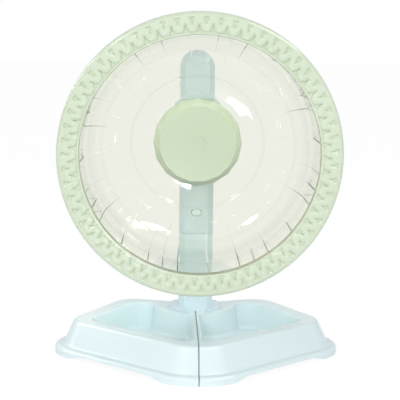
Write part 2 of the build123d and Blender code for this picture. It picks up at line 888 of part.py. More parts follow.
with BuildPart() as drum:
    with BuildSketch(half_section):
        offset(drum_space.sketch, drum_wall + panel_thickness)
        Rectangle(2 * hub_flat_radius, reach, mode=Mode.SUBTRACT)
        with Locations(at(0, flange_front + flange_thickness)):
            Rectangle(2 * reach, reach, align=(Align.CENTER, Align.MAX), mode=Mode.SUBTRACT)
    revolve(axis=wheel_axis)
    with BuildSketch(facing_viewer(wheel_front)):
        with PolarLocations(0, rib_count // 2, start_angle=first_rib_angle):
            add(panel.sketch)
    extrude(amount=-reach, mode=Mode.INTERSECT)
    with BuildSketch(half_section):
        offset(drum_space.sketch, drum_wall)
        with Locations(at(0, flange_front)):
            Rectangle(2 * reach, reach, align=(Align.CENTER, Align.MAX), mode=Mode.SUBTRACT)
            Rectangle(flange_radius, flange_thickness, align=(Align.MIN, Align.MIN))
        add(drum_space.sketch, mode=Mode.SUBTRACT)
        Rectangle(2 * hub_hole_radius, reach, mode=Mode.SUBTRACT)
    revolve(axis=wheel_axis)
    with BuildSketch(half_section):
        add(drum_space.sketch)
        Rectangle(2 * hub_hole_radius, reach, mode=Mode.SUBTRACT)
    revolve(axis=wheel_axis, mode=Mode.SUBTRACT)
    for i in range(rib_count):
        add(rib.part.rotate(wheel_axis, first_rib_angle + i * 360 / rib_count))
drum.part.label = "drum"
export_step(drum.part, "parts/drum.step")

# Ring: a turned section, and the zigzag is what three cuts under and between its loops leave

loop_angle = 360 / zigzag_count
groove_half_width = ring_groove_radius - zigzag_outer
crease_start = (zigzag_inner + hollow_tip) / 2
crease_plane = Plane(
    origin=(crease_start, wheel_front, axle_height), x_dir=(0, 0, 1), z_dir=(1, 0, 0)
)

with BuildPart() as loop_cuts:
    with BuildSketch(facing_viewer(wheel_front - cut_overshoot)):
        with PolarLocations(0, 1, start_angle=loop_angle / 2):
            Polygon(
                (wedge_tip, 0),
                (wedge_neck, -wedge_neck_half_width),
                (zigzag_outer - groove_half_width, -wedge_neck_half_width - groove_half_width),
                (zigzag_outer, -wedge_half_width),
                (ring_groove_radius + cut_side_overshoot, -wedge_half_width),
                (ring_groove_radius + cut_side_overshoot, wedge_half_width),
                (zigzag_outer, wedge_half_width),
                (zigzag_outer - groove_half_width, wedge_neck_half_width + groove_half_width),
                (wedge_neck, wedge_neck_half_width),
                align=None,
            )
    extrude(amount=-zigzag_depth - cut_overshoot, taper=wedge_slope)
    with BuildSketch(facing_viewer(wheel_front - cut_overshoot)):
        Polygon(
            (zigzag_inner - cut_side_overshoot, -hollow_half_width),
            (zigzag_inner - cut_side_overshoot, hollow_half_width),
            (hollow_tip, 0),
            align=None,
        )
    extrude(amount=-hollow_depth - cut_overshoot, taper=hollow_slope)
    with BuildSketch(crease_plane):
        Polygon(
            (-crease_half_width, cut_overshoot),
            (crease_half_width, cut_overshoot),
            (0, -crease_depth),
            align=None,
        )
    extrude(amount=crease_end - crease_start)

clip_front = flange_front + flange_thickness + flange_clearance
clip_outer = wheel_radius - ring_wall

with BuildPart() as clip:
    with BuildSketch(half_section):
        Polygon(
            at(clip_outer + flange_clearance, clip_front),
            at(clip_outer - clip_reach, clip_front),
            at(clip_outer - clip_reach, clip_front + clip_depth / 3),
            at(clip_outer, clip_front + clip_depth),
            at(clip_outer + flange_clearance, clip_front + clip_depth),
            align=None,
        )
    extrude(amount=clip_width / 2, both=True)

with BuildPart() as rim_ring:
    with BuildSketch(half_section):
        with BuildLine():
            FilletPolyline(
                at(ring_inner_radius, ring_lip_depth),
                at(ring_inner_radius, ring_lip_setback),
                at(zigzag_inner, ring_lip_setback),
                at(zigzag_inner + ring_lip_setback, 0),
                at(zigzag_outer - groove_half_width, 0),
                at(zigzag_outer + groove_half_width / 2, ring_edge_groove),
                at(ring_groove_radius + groove_half_width / 2, ring_edge_groove / 2),
                at(wheel_radius, ring_edge_groove / 2),
                at(wheel_radius, ring_depth),
                at(wheel_radius - ring_wall, ring_depth),
                at(wheel_radius - ring_wall, 2 * ring_wall),
                at(zigzag_inner, 2 * ring_wall),
                at(zigzag_inner, ring_lip_depth),
                radius=[0, ring_lip_round, 0, 0, 0, 0, 0, ring_edge_round, 0, 0, 0, 0, 0],
                close=True,
            )
        make_face()
    revolve(axis=wheel_axis)
    for i in range(clip_count):
        add(clip.part.rotate(wheel_axis, i * 360 / clip_count))
    cuts = [
        loop_cuts.part.rotate(wheel_axis, first_loop_angle + i * loop_angle)
        for i in range(zigzag_count)
    ]
    add(cuts, mode=Mode.SUBTRACT)
rim_ring.part.label = "rim_ring"
export_step(rim_ring.part, "parts/rim_ring.step")
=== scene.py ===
from math import cos, hypot, pi, radians, sin, sqrt, tan

import bmesh
import bpy
from mathutils import Matrix, Vector


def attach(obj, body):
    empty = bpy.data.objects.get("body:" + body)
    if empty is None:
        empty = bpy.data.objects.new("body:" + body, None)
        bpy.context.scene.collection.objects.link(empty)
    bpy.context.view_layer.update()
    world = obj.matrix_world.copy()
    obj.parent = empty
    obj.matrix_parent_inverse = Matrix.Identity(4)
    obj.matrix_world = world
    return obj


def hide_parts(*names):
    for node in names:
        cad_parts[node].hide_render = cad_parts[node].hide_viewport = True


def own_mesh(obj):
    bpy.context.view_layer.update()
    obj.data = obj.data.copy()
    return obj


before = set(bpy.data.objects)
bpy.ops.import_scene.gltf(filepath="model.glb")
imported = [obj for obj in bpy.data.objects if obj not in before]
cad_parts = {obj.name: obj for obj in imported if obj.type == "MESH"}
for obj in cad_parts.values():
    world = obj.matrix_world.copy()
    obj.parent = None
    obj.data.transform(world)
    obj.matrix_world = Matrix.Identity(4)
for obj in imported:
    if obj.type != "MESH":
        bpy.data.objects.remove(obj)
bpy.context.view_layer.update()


# Food bowls. Two mirror-image halves moulded in pale blue plastic butt on a seam and make the
# base. Their faces are polished in the mould, with a faint waviness.
bowl_blue = (0.765, 0.890, 0.918)
bowl_blue_shade = (0.735, 0.865, 0.895)
bowl_roughness = 0.20
bowl_crease_angle = radians(32)
# The seam's dark line is painted shade, a thin strip of colour on both faces beside the gap.
seam_painted_shade = (0.27, 0.32, 0.34)
seam_line, seam_line_end = 0.0003, 0.0007


class Socket:
    """A shader socket that can be used in arithmetic."""

    def __init__(self, nodes, link):
        self.nodes = nodes
        self.link = link

    def math(self, operation, other=None, swap=False):
        values = [self, other] if other is not None else [self]
        if swap:
            values.reverse()
        return self.nodes.node("ShaderNodeMath", {"operation": operation}, values).out()

    def __add__(self, other):
        return self.math("ADD", other)

    def __radd__(self, other):
        return self.math("ADD", other, swap=True)

    def __sub__(self, other):
        return self.math("SUBTRACT", other)

    def __rsub__(self, other):
        return self.math("SUBTRACT", other, swap=True)

    def __mul__(self, other):
        return self.math("MULTIPLY", other)

    def __rmul__(self, other):
        return self.math("MULTIPLY", other, swap=True)

    def __pow__(self, other):
        return self.math("POWER", other)

    def absolute(self):
        return self.math("ABSOLUTE")

    def step(self, low, high):
        """0 below low, 1 above high, and a smooth rise between."""
        settings = {"interpolation_type": "SMOOTHSTEP"}
        return self.nodes.node(
            "ShaderNodeMapRange", settings, {"Value": self, "From Min": low, "From Max": high}
        ).out()


class Node:
    """A placed shader node."""

    def __init__(self, nodes, made):
        self.nodes = nodes
        self.made = made

    def out(self, name=None):
        sockets = self.made.outputs
        found = sockets[name] if name else next(s for s in sockets if s.enabled)
        return Socket(self.nodes, found)


class Material:
    """A node material, with one method for every node that isn't arithmetic."""

    def __init__(self, name):
        self.material = bpy.data.materials.new(name)
        self.material.use_nodes = True
        self.tree = self.material.node_tree
        self.tree.nodes.clear()

    def node(self, kind, settings=None, values=()):
        made = self.tree.nodes.new(kind)
        for key, value in (settings or {}).items():
            setattr(made, key, value)
        pairs = values.items() if isinstance(values, dict) else enumerate(values)
        for key, value in pairs:
            if isinstance(key, str):
                socket = next(s for s in made.inputs if s.name == key and s.enabled)
            else:
                socket = made.inputs[key]
            if isinstance(value, Socket):
                self.tree.links.new(value.link, socket)
            elif isinstance(value, tuple) and len(value) == 3 and socket.type == "RGBA":
                socket.default_value = (*value, 1)
            else:
                socket.default_value = value
        return Node(self, made)

    def place(self):
        return self.node("ShaderNodeTexCoord").out("Object")

    def along(self, axis):
        return self.node("ShaderNodeSeparateXYZ", None, [self.place()]).out(axis)

    def noise(self, scale, detail=2.0):
        values = {"Vector": self.place(), "Scale": scale, "Detail": detail}
        return self.node("ShaderNodeTexNoise", None, values).out("Fac")

    def mix(self, factor, first, second):
        settings = {"data_type": "RGBA"}
        values = {"Factor": factor, "A": first, "B": second}
        return self.node("ShaderNodeMix", settings, values).out("Result")

    def bump(self, height, distance):
        values = {"Height": height, "Distance": distance}
        return self.node("ShaderNodeBump", None, values).out("Normal")

    def surface(self, **values):
        named = {key.replace("_", " "): value for key, value in values.items()}
        self.finish(self.node("ShaderNodeBsdfPrincipled", None, named).out("BSDF"))

    def finish(self, shader):
        self.node("ShaderNodeOutputMaterial", {"is_active_output": True}, {"Surface": shader})


def moulded_plastic(name, colour, shade, roughness, line=None, line_colour=None):
    """Smooth moulded plastic: slow colour drift, a fine grain and scuffs in the gloss, and a
    darker line of painted shade where a mask gives one."""
    m = Material(name)
    drift = m.noise(14.0, 2.0)
    grain = m.noise(2600.0, 2.0)
    ripple = m.noise(40.0, 1.0)
    scuffs = m.noise(420.0, 4.0).step(0.6, 0.8)
    base = m.mix(drift.step(0.3, 0.7), colour, shade)
    # The mask's darker line is painted shade.
    if line:
        base = m.mix(line(m), base, line_colour)
    m.surface(
        Base_Color=base,
        Roughness=roughness + 0.03 * ripple + 0.04 * scuffs,
        Normal=m.bump(ripple * 0.7 + grain * 0.3, 0.00002),
        IOR=1.5,
    )
    return m.material


weld_distance = 2e-6
flat_angle = radians(0.4)


def smooth_copy(node, crease_angle, bevel=0.0):
    """A shaded stand-in for a CAD node, with flats merged and creases kept sharp."""
    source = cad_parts[node]
    mesh = bpy.data.meshes.new(node + "_shell")
    shape = bmesh.new()
    shape.from_mesh(source.data)
    bmesh.ops.remove_doubles(shape, verts=shape.verts, dist=weld_distance)
    bmesh.ops.dissolve_limit(
        shape, angle_limit=flat_angle, verts=shape.verts, edges=shape.edges
    )
    shape.to_mesh(mesh)
    shape.free()
    mesh.materials.clear()
    for face in mesh.polygons:
        face.use_smooth = True
    mesh.set_sharp_from_angle(angle=crease_angle)
    piece = bpy.data.objects.new(node + "_shell", mesh)
    bpy.context.scene.collection.objects.link(piece)
    if bevel:
        edge = piece.modifiers.new("edge", "BEVEL")
        edge.width = bevel
        edge.segments = 2
        edge.limit_method = "ANGLE"
        edge.angle_limit = crease_angle
        edge.harden_normals = True
    return piece


def dress(piece, body, slot, material, *nodes):
    """Gives a piece its material and its body, and hides the CAD nodes that it stands for."""
    piece.data.materials.append(material)
    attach(piece, body)
    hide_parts(*nodes)


def painted_seam_shade(m):
    """1 in a thin line on both sides of the bowls' seam, where the gap's shade is painted dark."""
    return 1 - m.along("X").absolute().step(seam_line, seam_line_end)


bowl_plastic = moulded_plastic(
    "bowl_plastic", bowl_blue, bowl_blue_shade, bowl_roughness, painted_seam_shade, seam_painted_shade
)
for bowl in ("left_bowl", "right_bowl"):
    dress(smooth_copy(bowl, bowl_crease_angle), "stand", "blue_plastic", bowl_plastic, bowl)


def recolour(node, material):
    """Puts a material on a CAD node that stays as it is."""
    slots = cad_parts[node].data.materials
    slots.clear()
    slots.append(material)


# Foot plate and its four screws. A white plate under the deck ties both bowls to the post. It
# is moulded in a harder plastic with a fine matt grain, and the screws are bright zinc.
plate_white = (0.86, 0.87, 0.86)
plate_white_shade = (0.82, 0.83, 0.83)
zinc = (0.78, 0.79, 0.81)
zinc_shade = (0.70, 0.72, 0.75)

grained = Material("grained_plastic")
grain = grained.noise(1500.0, 3.0)
grained.surface(
    Base_Color=grained.mix(
        grained.noise(40.0).step(0.3, 0.7), plate_white, plate_white_shade
    ),
    Roughness=0.5 + 0.2 * grain,
    Normal=grained.bump(grain, 0.00005),
)

bright_zinc = Material("bright_zinc")
frost = bright_zinc.noise(900.0, 3.0)
bright_zinc.surface(
    Base_Color=bright_zinc.mix(frost, zinc, zinc_shade),
    Metallic=1.0,
    Roughness=0.22 + 0.16 * frost,
    Normal=bright_zinc.bump(frost, 0.00002),
)
recolour("foot_plate", grained.material)
recolour("foot_screws", bright_zinc.material)


# Lower post. A square tube with chamfered corners stands in the deck on a C-shaped flange, and
# its narrower spigot slides into the upper column. Moulded in the same pale blue.
post_blue = (0.735, 0.875, 0.940)
post_blue_shade = (0.705, 0.845, 0.910)
post_roughness = 0.24
post_crease_angle = radians(28)
post_edge = 0.00035

post_plastic = moulded_plastic("post_plastic", post_blue, post_blue_shade, post_roughness)
dress(
    smooth_copy("lower_post", post_crease_angle, post_edge),
    "stand", "blue_plastic", post_plastic, "lower_post",
)


# Catch. An oval button sits behind the column's front wall on a coil spring, and locks the
# upper column on the post. The spring is drawn steel wire.
catch_edge = 0.0006
catch_crease_angle = radians(30)
# The dark outline round the catch is painted shade on its sideways faces.
catch_painted_shade = (0.16, 0.22, 0.26)

spring_wire = Material("spring_wire")
drawn = spring_wire.noise(1800.0, 2.0)
spring_wire.surface(
    Base_Color=(0.52, 0.53, 0.55),
    Metallic=1.0,
    Roughness=0.28 + 0.2 * drawn,
    Normal=spring_wire.bump(drawn, 0.00001),
)


def on_sides(m):
    """1 on faces that look sideways, which get a painted shade outline round the catch, 0 on its
    front and back.
    """
    normal = m.node("ShaderNodeTexCoord").out("Normal")
    facing = m.node("ShaderNodeSeparateXYZ", None, [normal]).out("Y").absolute()
    return 1 - facing.step(0.75, 0.98)


catch_plastic = moulded_plastic(
    "catch_plastic", post_blue, post_blue_shade, post_roughness, on_sides, catch_painted_shade
)
dress(
    smooth_copy("catch_button", catch_crease_angle, catch_edge),
    "catch", "blue_plastic", catch_plastic, "catch_button",
)
spring = smooth_copy("catch_spring", catch_crease_angle)
dress(spring, "stand", "steel", spring_wire.material, "catch_spring")
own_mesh(spring)


# Upper column. A domed square tube with chamfered edges, moulded in the pale blue plastic. Its
# colour is the post's blue made a little darker as painted shade. It has a hole for the axle's
# barrel and an oval one for the catch.
# Both colours are darkened with painted shade.
column_blue = (0.640, 0.770, 0.840)
column_blue_shade = (0.615, 0.745, 0.815)
column_roughness = 0.26
column_edge = 0.0004

column_plastic = moulded_plastic(
    "column_plastic", column_blue, column_blue_shade, column_roughness
)
dress(
    smooth_copy("upper_column", post_crease_angle, column_edge),
    "stand", "blue_plastic", column_plastic, "upper_column",
)


# Axle plate and its two screws. The plate is screwed on the column's front and its barrel
# carries both bearings.
axle_plate_edge = 0.0002

dress(
    smooth_copy("axle_plate", post_crease_angle, axle_plate_edge),
    "stand", "blue_plastic", post_plastic, "axle_plate",
)
recolour("axle_plate_screws", bright_zinc.material)


# Bearings. Two small shielded ball bearings carry the shaft in the plate's barrel. Their rings
# are ground steel, and their shields are pressed and plated.
ground_light, ground_dark = (0.58, 0.59, 0.60), (0.50, 0.51, 0.53)

ground_steel = Material("ground_steel")
grit = ground_steel.noise(1400.0)
ground_steel.surface(
    Base_Color=ground_steel.mix(grit, ground_light, ground_dark),
    Metallic=1.0,
    Roughness=0.2 + 0.15 * grit,
    Normal=ground_steel.bump(grit, 0.00001),
)
for node in ("bearing_outer_rings", "bearing_inner_rings", "bearing_spacer"):
    recolour(node, ground_steel.material)
recolour("bearing_shields", bright_zinc.material)


# Axle. A turned steel shaft runs through the bearings with a sleeve in front of them, and a
# washer and a lock nut behind.
turned_light, turned_dark = (0.60, 0.60, 0.61), (0.52, 0.53, 0.54)

turned_steel = Material("turned_steel")
tool_marks = turned_steel.node(
    "ShaderNodeTexWave",
    {"wave_type": "BANDS", "bands_direction": "Y"},
    {"Vector": turned_steel.place(), "Scale": 900.0, "Distortion": 0.6},
).out("Fac")
turned_steel.surface(
    Base_Color=turned_steel.mix(turned_steel.noise(300.0), turned_light, turned_dark),
    Metallic=1.0,
    Roughness=0.25 + 0.12 * tool_marks,
    Normal=turned_steel.bump(tool_marks, 0.00001),
)
for node in ("axle_shaft", "axle_sleeve"):
    recolour(node, turned_steel.material)
for node in ("axle_washer", "axle_lock_nut"):
    recolour(node, bright_zinc.material)


# Rear cap. A round plug in the back of the column covers the lock nut. It is moulded in the
# post's blue plastic.
dress(
    smooth_copy("rear_cap", post_crease_angle),
    "stand", "blue_plastic", post_plastic, "rear_cap",
)


# Hub flange. A white disc on the shaft, which the knob clamps the drum against. It is moulded
# in the foot plate's grained plastic.
flange_crease_angle = radians(30)
flange_edge = 0.0004

dress(
    smooth_copy("hub_flange", flange_crease_angle, flange_edge),
    "wheel", "white_plastic", grained.material, "hub_flange",
)


# Drum. The running dish is injection moulded in clear polystyrene: a smooth bowl with sixteen
# fine ribs on its inside for grip, and eight raised U-shaped panels on its outside. One eighth
# of it is made as a closed slice, and Geometry Nodes turn that into the whole dish.
axle_height = 0.1655
wheel_front = -0.0625
drum_slices = 8
first_rib_angle = radians(5)
mouth_radius, flange_radius, flange_front, flange_back = 90.8, 102.3, 4.5, 6.5
track_radius, track_end, track_bend = 86.5, 70.0, 34.0
step_outer, step_inner, step_front, step_back = 52.5, 50.5, 77.5, 79.5
hub_radius, hub_hole, drum_depth, drum_wall = 39.0, 4.2, 81.0, 1.8
rib_height, rib_top, rib_foot, rib_end, rib_fade = 0.8, 0.1, 0.7, 63.5, 1.5
rib_front, rib_pitch = 9.1, radians(22.5)
panel_height, panel_half_angle, panel_corner, panel_edge = 0.7, radians(15), 7.0, 0.4
panel_start, panel_full = 7.5, 8.5
flange_round, flange_root, hub_bend, step_bend, drum_spacing = 0.3, 1.2, 1.5, 2.5, 1.2
clear_tint, clear_dusty, clear_edge_painted_shade = (0.84, 0.855, 0.76), (0.86, 0.87, 0.79), (0.70, 0.72, 0.68)
clear_shadow = (0.945, 0.95, 0.93)


def ease(value, low, high):
    """0 below low, 1 above high, and a smooth rise between."""
    part = min(max((value - low) / (high - low), 0), 1)
    return part * part * (3 - 2 * part)


def rounded_path(corners, spacing):
    """Points along a line of straight runs, with an arc of its own radius at each corner."""
    points = []
    for i, (x, y, radius) in enumerate(corners):
        here = Vector((x, y))
        if radius == 0:
            arc = [here]
        else:
            before = (here - Vector(corners[i - 1][:2])).normalized()
            after = (Vector(corners[i + 1][:2]) - here).normalized()
            turn = before.angle(after)
            reach = radius * tan(turn / 2)
            middle = here + (after - before).normalized() * (radius / cos(turn / 2))
            steps = max(3, int(radius * turn / spacing))
            start, end = here - before * reach - middle, here + after * reach - middle
            arc = []
            for k in range(steps + 1):
                part = turn * k / steps
                arc.append(middle + (start * sin(turn - part) + end * sin(part)) / sin(turn))
        if points:
            gap = arc[0] - points[-1]
            pieces = max(1, int(gap.length / (3 * spacing)))
            points += [points[-1] + gap * k / pieces for k in range(1, pieces)]
        points += arc
    return points


def rib_rise(radius, depth, across):
    """How far the inside stands in at a place, from the nearest rib."""
    side = 1 - ease(abs(across), rib_top, rib_foot)
    ends = ease(radius, rib_end, rib_end + rib_fade) * ease(depth, rib_front, rib_front + rib_fade)
    return rib_height * side * ends


def panel_rise(radius, depth, turn):
    """How far the outside stands out at a place, from the raised panel."""
    end = radius * cos(turn) - rib_end
    side = radius * sin(panel_half_angle - abs(turn))
    inside = min(end, side)
    if end < panel_corner and side < panel_corner:
        inside = panel_corner - hypot(panel_corner - end, panel_corner - side)
    front = ease(depth, panel_start, panel_full)
    return panel_height * ease(inside, -panel_edge, panel_edge) * front


def slice_turns():
    """Angles of the slice's columns, closer together at each rib and each panel side."""
    rib_side = [radians(0.1 * k) for k in range(6)] + [radians(0.7), radians(1.2)]
    half = list(rib_side) + [radians(a) for a in (3, 5.5, 8, 10.5, 13)]
    half += [panel_half_angle + radians(0.16 * k) for k in range(-4, 5)]
    half += [radians(17.5), radians(19.5)] + [rib_pitch - a for a in reversed(rib_side)]
    return [-a for a in reversed(half[1:])] + half


def closed_slice(name, columns):
    """A strip of faces from a column of points at each angle, open where the copies join."""
    shape = bmesh.new()
    rows = []
    for turn, column in columns:
        row = []
        for radius, depth in column:
            place = Vector((radius * cos(turn), depth, radius * sin(turn))) / 1000
            row.append(shape.verts.new(place))
        rows.append(row)
    for left, right in zip(rows, rows[1:]):
        for i in range(len(left)):
            j = (i + 1) % len(left)
            shape.faces.new((left[i], left[j], right[j], right[i]))
    mesh = bpy.data.meshes.new(name)
    shape.to_mesh(mesh)
    shape.free()
    return mesh


def drum_slice():
    """One eighth of the dish as a closed slice: the inside, the flange, then the outside."""
    inside = rounded_path(
        [
            (hub_hole, drum_depth, 0), (hub_radius, drum_depth, hub_bend),
            (step_inner, step_back, step_bend), (step_outer, step_front, step_bend),
            (track_radius, track_end, track_bend), (mouth_radius, flange_front, 0),
        ],
        drum_spacing,
    )
    normals = []
    for i in range(len(inside)):
        along = inside[min(i + 1, len(inside) - 1)] - inside[max(i - 1, 0)]
        normals.append(Vector((-along.y, along.x)).normalized())
    columns = []
    for turn in slice_turns():
        column = []
        rib_turn = turn - round(turn / rib_pitch) * rib_pitch
        for (radius, depth), normal in zip(inside, normals):
            rise = rib_rise(radius, depth, radius * sin(rib_turn))
            column.append((radius - normal.x * rise, depth - normal.y * rise))
        column += [
            (flange_radius - flange_round, flange_front),
            (flange_radius, flange_front + flange_round),
            (flange_radius, flange_back - flange_round),
            (flange_radius - flange_round, flange_back),
        ]
        outer_wall = [pair for pair in zip(inside, normals) if pair[0].y > flange_back]
        root = mouth_radius + drum_wall
        column += [
            (root + flange_root, flange_back), (root + flange_round, flange_back + flange_round),
        ]
        for (radius, depth), normal in reversed(outer_wall):
            rise = drum_wall + panel_rise(radius, depth, turn)
            column.append((radius + normal.x * rise, depth + normal.y * rise))
        columns.append((turn, column))
    return closed_slice("drum_slice", columns)


def turned_copies(name, mesh, count, first_angle, material):
    """Geometry Nodes turn a slice about the axle, join the copies and give a plain mesh."""
    tree = bpy.data.node_groups.new(name + "_copies", "GeometryNodeTree")
    face = tree.interface
    face.new_socket("Slice", in_out="INPUT", socket_type="NodeSocketGeometry")
    count_in = face.new_socket("Count", in_out="INPUT", socket_type="NodeSocketInt")
    angle_in = face.new_socket("First Angle", in_out="INPUT", socket_type="NodeSocketFloat")
    centre_in = face.new_socket("Centre", in_out="INPUT", socket_type="NodeSocketVector")
    face.new_socket("Ring", in_out="OUTPUT", socket_type="NodeSocketGeometry")
    made = {}
    for key, kind in (
        ("given", "NodeGroupInput"), ("line", "GeometryNodeMeshLine"),
        ("index", "GeometryNodeInputIndex"), ("share", "ShaderNodeMath"),
        ("turn", "ShaderNodeMath"), ("from_first", "ShaderNodeMath"),
        ("spin", "ShaderNodeCombineXYZ"), ("place", "GeometryNodeInstanceOnPoints"),
        ("real", "GeometryNodeRealizeInstances"), ("weld", "GeometryNodeMergeByDistance"),
        ("paint", "GeometryNodeSetMaterial"), ("result", "NodeGroupOutput"),
    ):
        made[key] = tree.nodes.new(kind)
    made["share"].operation = "DIVIDE"
    made["share"].inputs[0].default_value = -2 * pi
    made["turn"].operation = "MULTIPLY"
    made["from_first"].operation = "SUBTRACT"
    made["weld"].inputs["Distance"].default_value = weld_distance
    made["paint"].inputs["Material"].default_value = material
    made["line"].inputs["Offset"].default_value = (0, 0, 0)
    link = tree.links.new
    link(made["given"].outputs["Count"], made["line"].inputs["Count"])
    link(made["given"].outputs["Centre"], made["line"].inputs["Start Location"])
    link(made["given"].outputs["Count"], made["share"].inputs[1])
    link(made["share"].outputs[0], made["turn"].inputs[0])
    link(made["index"].outputs[0], made["turn"].inputs[1])
    link(made["turn"].outputs[0], made["from_first"].inputs[0])
    link(made["given"].outputs["First Angle"], made["from_first"].inputs[1])
    link(made["from_first"].outputs[0], made["spin"].inputs["Y"])
    link(made["line"].outputs["Mesh"], made["place"].inputs["Points"])
    link(made["given"].outputs["Slice"], made["place"].inputs["Instance"])
    link(made["spin"].outputs["Vector"], made["place"].inputs["Rotation"])
    link(made["place"].outputs["Instances"], made["real"].inputs["Geometry"])
    link(made["real"].outputs["Geometry"], made["weld"].inputs["Geometry"])
    link(made["weld"].outputs["Geometry"], made["paint"].inputs["Geometry"])
    link(made["paint"].outputs["Geometry"], made["result"].inputs["Ring"])
    maker = bpy.data.objects.new(name + "_maker", mesh)
    bpy.context.scene.collection.objects.link(maker)
    copies = maker.modifiers.new("copies", "NODES")
    copies.node_group = tree
    copies[count_in.identifier] = count
    copies[angle_in.identifier] = first_angle
    copies[centre_in.identifier] = (0.0, wheel_front, axle_height)
    ready = maker.evaluated_get(bpy.context.evaluated_depsgraph_get())
    whole = bpy.data.meshes.new_from_object(ready)
    bpy.data.objects.remove(maker)
    for face in whole.polygons:
        face.use_smooth = True
    piece = bpy.data.objects.new(name, whole)
    bpy.context.scene.collection.objects.link(piece)
    return piece


clear = Material("clear_plastic")
swirl = clear.noise(30.0, 2.0)
haze = clear.noise(240.0, 3.0)
# Where the dish is seen edge-on its tint turns grey, painted shade for the dark lines along ribs
# and panels.
edge_on = clear.node("ShaderNodeLayerWeight", None, {"Blend": 0.5}).out("Facing")
tint = clear.mix(haze, clear_tint, clear_dusty)
tint = clear.mix(edge_on.step(0.7, 1.0), tint, clear_edge_painted_shade)
moulded = clear.node(
    "ShaderNodeBsdfPrincipled",
    None,
    {
        "Base Color": tint,
        "Roughness": 0.01 + 0.02 * haze,
        "Transmission Weight": 1.0,
        "IOR": 1.17,
        "Coat Weight": 0.85 + 0.15 * edge_on,
        "Coat Roughness": 0.02,
        "Coat IOR": 1.5,
        "Normal": clear.bump(swirl, 0.0002),
    },
).out("BSDF")
passing = clear.node("ShaderNodeBsdfTransparent", None, {"Color": clear_shadow}).out()
shadow = clear.node("ShaderNodeLightPath").out("Is Shadow Ray")
clear.finish(clear.node("ShaderNodeMixShader", None, [shadow, moulded, passing]).out())
dish = turned_copies("drum_dish", drum_slice(), drum_slices, first_rib_angle, clear.material)
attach(dish, "wheel")
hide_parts("drum")


# Front ring. Mint green plastic, moulded with a row of plump zigzag petals between a narrow
# inner lip and a rounded rim, and clipped over the drum's flange. One petal is made as a closed
# slice of the ring, and Geometry Nodes turn it into all of them.
mint = (0.640, 0.728, 0.575)
mint_shade = (0.608, 0.698, 0.542)
loop_count = 59
first_loop_angle = radians(5.59)
loop_angle = 2 * pi / loop_count
loop_columns = 24
wedge_side = [(0.0, 96.4), (0.4, 98.6), (1.8, 101.4)]
crease_side = [(0.0, 95.8), (0.4, 93.2), (2.1, 90.2)]
wedge_depth, crease_depth, lip_front = 1.8, 2.2, 1.5
petal_round, petal_end, row_spacing = 3.0, 90.2, 0.42
wedge_fade, rim_fade, relief_end = (100.4, 102.0), (98.5, 101.5), 101.6
lip_radius, lip_round, lip_back, lip_back_radius = 88.3, 0.9, 9.0, 90.3
# The dark line on the ring's bore is painted shade.
lip_painted_shade = (0.36, 0.38, 0.27)
lip_line, lip_line_end = 0.0883, 0.0889
ring_roughness = 0.13
rim_radius, rim_front, rim_bend_start, rim_bend_depth = 105.0, 0.4, 101.8, 3.6
ring_depth, ring_wall, groove_depth, groove_round = 13.0, 2.2, 4.4, 0.3


def width_at(side, radius):
    """Half width of a gap between petals at a radius, or none outside its length."""
    for (x0, r0), (x1, r1) in zip(side, side[1:]):
        if min(r0, r1) <= radius <= max(r0, r1):
            return x0 + (x1 - x0) * (radius - r0) / (r1 - r0)
    return -1.0


def away_from(side, x, radius):
    """Distance from a gap between petals, nothing inside it."""
    if x <= width_at(side, radius):
        return 0.0
    place = Vector((x, radius))
    nearest = 100.0
    for start, end in zip(side, side[1:]):
        start, end = Vector(start), Vector(end)
        along = end - start
        share = min(max((place - start).dot(along) / along.length_squared, 0), 1)
        nearest = min(nearest, (place - start - along * share).length)
    return nearest


def pillow(away):
    """Fall of a petal's rounded face towards its edge, from 1 at the edge to 0."""
    inwards = min(away / petal_round, 1)
    return 1 - sqrt(1 - (1 - inwards) ** 2)


def face_depth(radius, turn):
    """Depth of the ring's worked face at a place."""
    from_crease = away_from(crease_side, radius * sin(abs(turn)), radius)
    from_wedge = away_from(wedge_side, radius * sin(loop_angle / 2 - abs(turn)), radius)
    from_lip = max(radius - petal_end, 0)
    wedge_floor = wedge_depth - (wedge_depth - rim_front) * ease(radius, *wedge_fade)
    return max(
        crease_depth * pillow(from_crease), wedge_floor * pillow(from_wedge),
        lip_front * pillow(from_lip), rim_front * ease(radius, *rim_fade),
    )


def ring_outline():
    """The slice's closed outline as (radius, depth or None for the worked face)."""
    outline = [(lip_radius, lip_back), (lip_radius, 5.0), (lip_radius, lip_front + lip_round)]
    for i in range(1, 5):
        bend = pi / 2 * i / 5
        outline.append((
            lip_radius + lip_round * (1 - cos(bend)), lip_front + lip_round * (1 - sin(bend)),
        ))
    radius = lip_radius + lip_round
    while radius < relief_end:
        outline.append((radius, None))
        radius += row_spacing
    for i in range(9):
        bend = pi / 2 * i / 9
        outline.append((
            rim_bend_start + (rim_radius - rim_bend_start) * sin(bend),
            rim_front + rim_bend_depth * (1 - cos(bend)),
        ))
    inside = rim_radius - ring_wall
    outline += [(rim_radius, 4.4), (rim_radius, 8.0), (rim_radius, 12.4)]
    outline += [(rim_radius - 0.4, ring_depth), (inside + 0.3, ring_depth)]
    outline += [(inside, 12.6), (inside, 8.0), (inside, 4.6)]
    outline += [(inside - groove_round, groove_depth), (96.0, groove_depth)]
    outline += [(lip_back_radius + groove_round, groove_depth)]
    outline += [(lip_back_radius, groove_depth + groove_round), (lip_back_radius, lip_back)]
    return outline


def ring_slice():
    """One loop of the ring as a closed slice."""
    columns = []
    for k in range(loop_columns + 1):
        turn = loop_angle * (k / loop_columns - 0.5)
        column = [
            (radius, face_depth(radius, turn) if depth is None else depth)
            for radius, depth in ring_outline()
        ]
        columns.append((turn, column))
    return closed_slice("ring_slice", columns)


def inside_lip(m):
    """1 on the ring's bore, where a dark line of painted shade goes, and 0 on its front."""
    x, z = m.along("X"), m.along("Z") - axle_height
    return 1 - ((x * x + z * z) ** 0.5).step(lip_line, lip_line_end)


